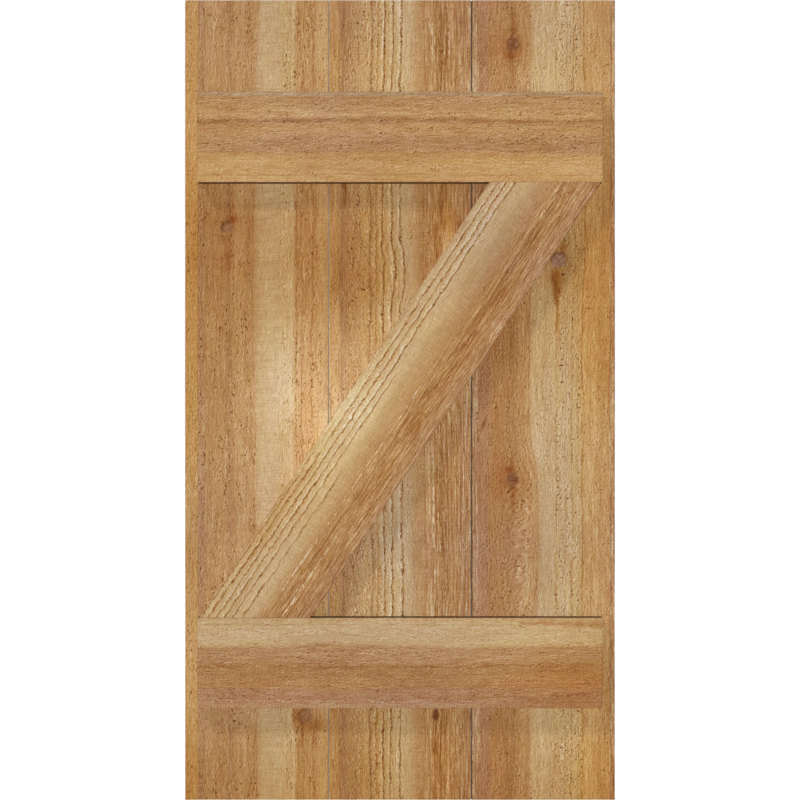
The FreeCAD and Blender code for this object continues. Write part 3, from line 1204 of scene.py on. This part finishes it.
# Brace: bands in mm from its upper left edge, lengths in mm from its lower end
brace = {
    "seed": 6,
    "wide": 88.0,
    "tipInset": 1.5,
    "cells": (152, 372),
    "lean": 0.4,
    "still": (-12, 100),
    "sway": 1.2,
    "ripple": 0.8,
    "tremble": (1.4, -20, 46),
    "pith": (20, 70),
    "coarse": 0.85,
    "tilt": 0.05,
    "fleckDepth": 1.0,
    "bands": [
        (0.0, 0.0, "straw", "ridged"),
        (4, 24, "milk", "ridged"),
        (31, 31, "milk", "smooth"),
        (36, 36, "straw", "smooth"),
        (46, 46, "lightTan", "smooth"),
        (50, 50, "tan", "dotted"),
        (57, 57, "tan", "lined"),
        (61, 66, "russet", "lined"),
        (69, 69, "umber", "lined"),
        (78, 78, "rose", "lined"),
        (84, 84, "pinkTan", "lined"),
        (88, 88, "dusk", "lined"),
    ],
    "lines": [
        (54, 0.8, 0.25), (60, 0.9, 0.4), (64.5, 0.8, 0.35), (68.5, 0.8, 0.4), (72, 0.7, 0.4),
        (75, 0.7, 0.35), (78, 0.7, 0.4), (81, 0.7, 0.3), (84, 0.7, 0.3),
    ],
    "castsAndShading": [
        (0, 0.06), (100, 0.06), (180, 0.0), (250, 0.03), (330, 0.1), (420, 0.16), (560, 0.18),
    ],
    "fades": [
        (0, 0.2), (100, 0.1), (200, -0.1), (300, 0.0), (410, 0.0), (455, 0.5), (500, 0.2),
        (560, 0.0),
    ],
    "stainsAndPaintedLight": [
        dict(at=(24, 450), size=(34, 80), faded=1.4),
        dict(at=(18, 40), size=(20, 50), faded=0.7),
        dict(at=(5, 340), size=(12, 55), faded=0.5),
        dict(at=(3, 210), size=(5, 70), depth=-0.08, faded=-0.5),
        dict(at=(28, 100), size=(11, 40), faded=0.5),
        dict(at=(28, 315), size=(11, 45), depth=0.05, faded=0.4),
        dict(at=(66, 280), size=(16, 330), faded=-0.6),
        dict(at=(9, 330), size=(4, 120), depth=0.09),
        dict(at=(9, 110), size=(4, 60), depth=0.16),
        dict(at=(78, 410), size=(12, 60), depth=-0.1),
        dict(at=(7, 70), size=(9, 95), depth=0.14),
        dict(at=(25, 70), size=(8, 95), depth=0.13),
        dict(at=(40, 75), size=(8, 85), depth=-0.12),
        dict(at=(68, 95), size=(6, 65), depth=-0.18),
        dict(at=(14, 245), size=(24, 46), depth=-0.28),
        dict(at=(2, 235), size=(5, 42), depth=-0.2),
        dict(at=(8, 440), size=(13, 95), depth=0.1),
        dict(at=(30, 450), size=(9, 48), depth=0.2),
        dict(at=(74, 530), size=(18, 50), depth=-0.26),
        dict(at=(60, 215), size=(9, 28), depth=-0.1),
        dict(at=(21, 20), size=(4, 30), depth=0.14),
        dict(at=(36, 310), size=(6, 110), depth=0.07),
    ],
    "grooves": [
        dict(at=2.5, depth=0.55, span=(-100, 240)),
        dict(at=7.9, depth=0.85),
        dict(at=14.3, depth=1.0),
        dict(at=20.5, depth=1.0),
        dict(at=27.0, depth=0.85, span=(-100, 300)),
        dict(at=35.0, depth=0.7, span=(-100, 200)),
    ],
    "shreds": [
        dict(at=52.5, span=(40, 330)),
        dict(at=66, span=(-100, 150)),
    ],
    "edgeShades": {"side": (0.9, 0.87, 0.82, 1.0), "end": (0.8, 0.76, 0.7, 1.0)},
}

makeTimber("diagonal_brace", "braceTimber", brace, bracePlace(brace))

# Zinc plated screws, which show at the back
zinc = {"bright": (0.62, 0.61, 0.56, 1.0), "dull": (0.36, 0.35, 0.31, 1.0), "cell": 0.0012}


def zincMaterial():
    material, shader = newMaterial("zincPlate")
    where = addNode("TexCoord", {}).outputs["Object"]
    mottle = speckle(where, (zinc["cell"], zinc["cell"]), 11, 3.0)
    colour = blendTones(fade(mottle, 0.38, 0.66), zinc["dull"], zinc["bright"])
    plug(shader, {"Base Color": colour, "Metallic": 1.0, "Roughness": scaled(mottle, 0.3, 0.25)})
    addBump(shader, mottle, 0.4, 0.05 * mm)
    return material


zincPlate = zincMaterial()
for name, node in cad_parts.items():
    if "_screw_" in name:
        node.data.materials.clear()
        node.data.materials.append(zincPlate)
print("screws finished")

# Studio: pale floor, white surroundings, a broad front lamp, a smaller one at the upper left
# and a lamp behind. A lamp is its place in metres, its size and its power.
studio = {
    "floorHalf": 30.0,
    "floorTone": (0.40, 0.40, 0.40, 1.0),
    "floorGlow": 0.98,
    "sky": 0.06,
    "lamps": {
        "front": ((0.0, -3.8, 0.0), 0.3, 92.0),
        "key": ((-6.42, -7.14, 10.22), 1.8, 640.0),
        "back": ((1.6, 3.4, 1.4), 1.6, 125.0),
    },
}


def seenDirectly():
    path = addNode("LightPath", {})
    seen = maths("MAXIMUM", path.outputs["Is Camera Ray"], path.outputs["Is Glossy Ray"])
    return maths("MAXIMUM", seen, path.outputs["Is Transmission Ray"])


def makeSky():
    world = bpy.data.worlds.new("studioSky")
    bpy.context.scene.world = world
    world.use_nodes = True
    bench["tree"] = world.node_tree
    white = (1.0, 1.0, 1.0, 1.0)
    sky = world.node_tree.nodes["Background"]
    plug(sky, {"Color": white, "Strength": studio["sky"]})
    seen = addNode("Background", {"Color": white, "Strength": 1.0})
    mix = addNode("MixShader", {0: seenDirectly(), 1: sky.outputs[0], 2: seen.outputs[0]})
    plug(world.node_tree.nodes["World Output"], {0: mix.outputs[0]})


def makeFloor():
    mesh = bpy.data.meshes.new("floor")
    half = studio["floorHalf"]
    low = cadBox[0].z
    corners = [(-half, -half, low), (half, -half, low), (half, half, low), (-half, half, low)]
    mesh.from_pydata(corners, [], [(0, 1, 2, 3)])
    floor = bpy.data.objects.new("floor", mesh)
    bpy.context.scene.collection.objects.link(floor)
    material, shader = newMaterial("paleFloor")
    plug(shader, {"Base Color": studio["floorTone"], "Roughness": 0.9, "Specular IOR Level": 0.1})
    glow = addNode("Emission", {"Strength": times(seenDirectly(), studio["floorGlow"])})
    both = addNode("AddShader", {0: shader.outputs[0], 1: glow.outputs[0]})
    plug(material.node_tree.nodes["Material Output"], {0: both.outputs[0]})
    mesh.materials.append(material)


def makeLamps():
    for name, (place, size, power) in studio["lamps"].items():
        lamp = bpy.data.lights.new(name, "AREA")
        lamp.shape = "DISK"
        lamp.size = size
        lamp.energy = power
        light = bpy.data.objects.new(name, lamp)
        light.location = place
        light.rotation_euler = (-Vector(place)).to_track_quat("-Z", "Y").to_euler()
        bpy.context.scene.collection.objects.link(light)


makeSky()
makeFloor()
makeLamps()

# Camera straight in front of the middle, in metres
view = {"distance": 2.93, "pictureHeight": 0.7621, "sensor": 36.0}


def makeCamera():
    data = bpy.data.cameras.new("camera")
    data.sensor_width = view["sensor"]
    data.lens = view["sensor"] * view["distance"] / view["pictureHeight"]
    camera = bpy.data.objects.new("camera", data)
    camera.location = (0.0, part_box("middle_board")[0].y - view["distance"], 0.0)
    camera.rotation_euler = (math.radians(90), 0.0, 0.0)
    bpy.context.scene.collection.objects.link(camera)
    bpy.context.scene.camera = camera


makeCamera()
bpy.context.scene.view_settings.view_transform = "Standard"
print("studio and camera ready")
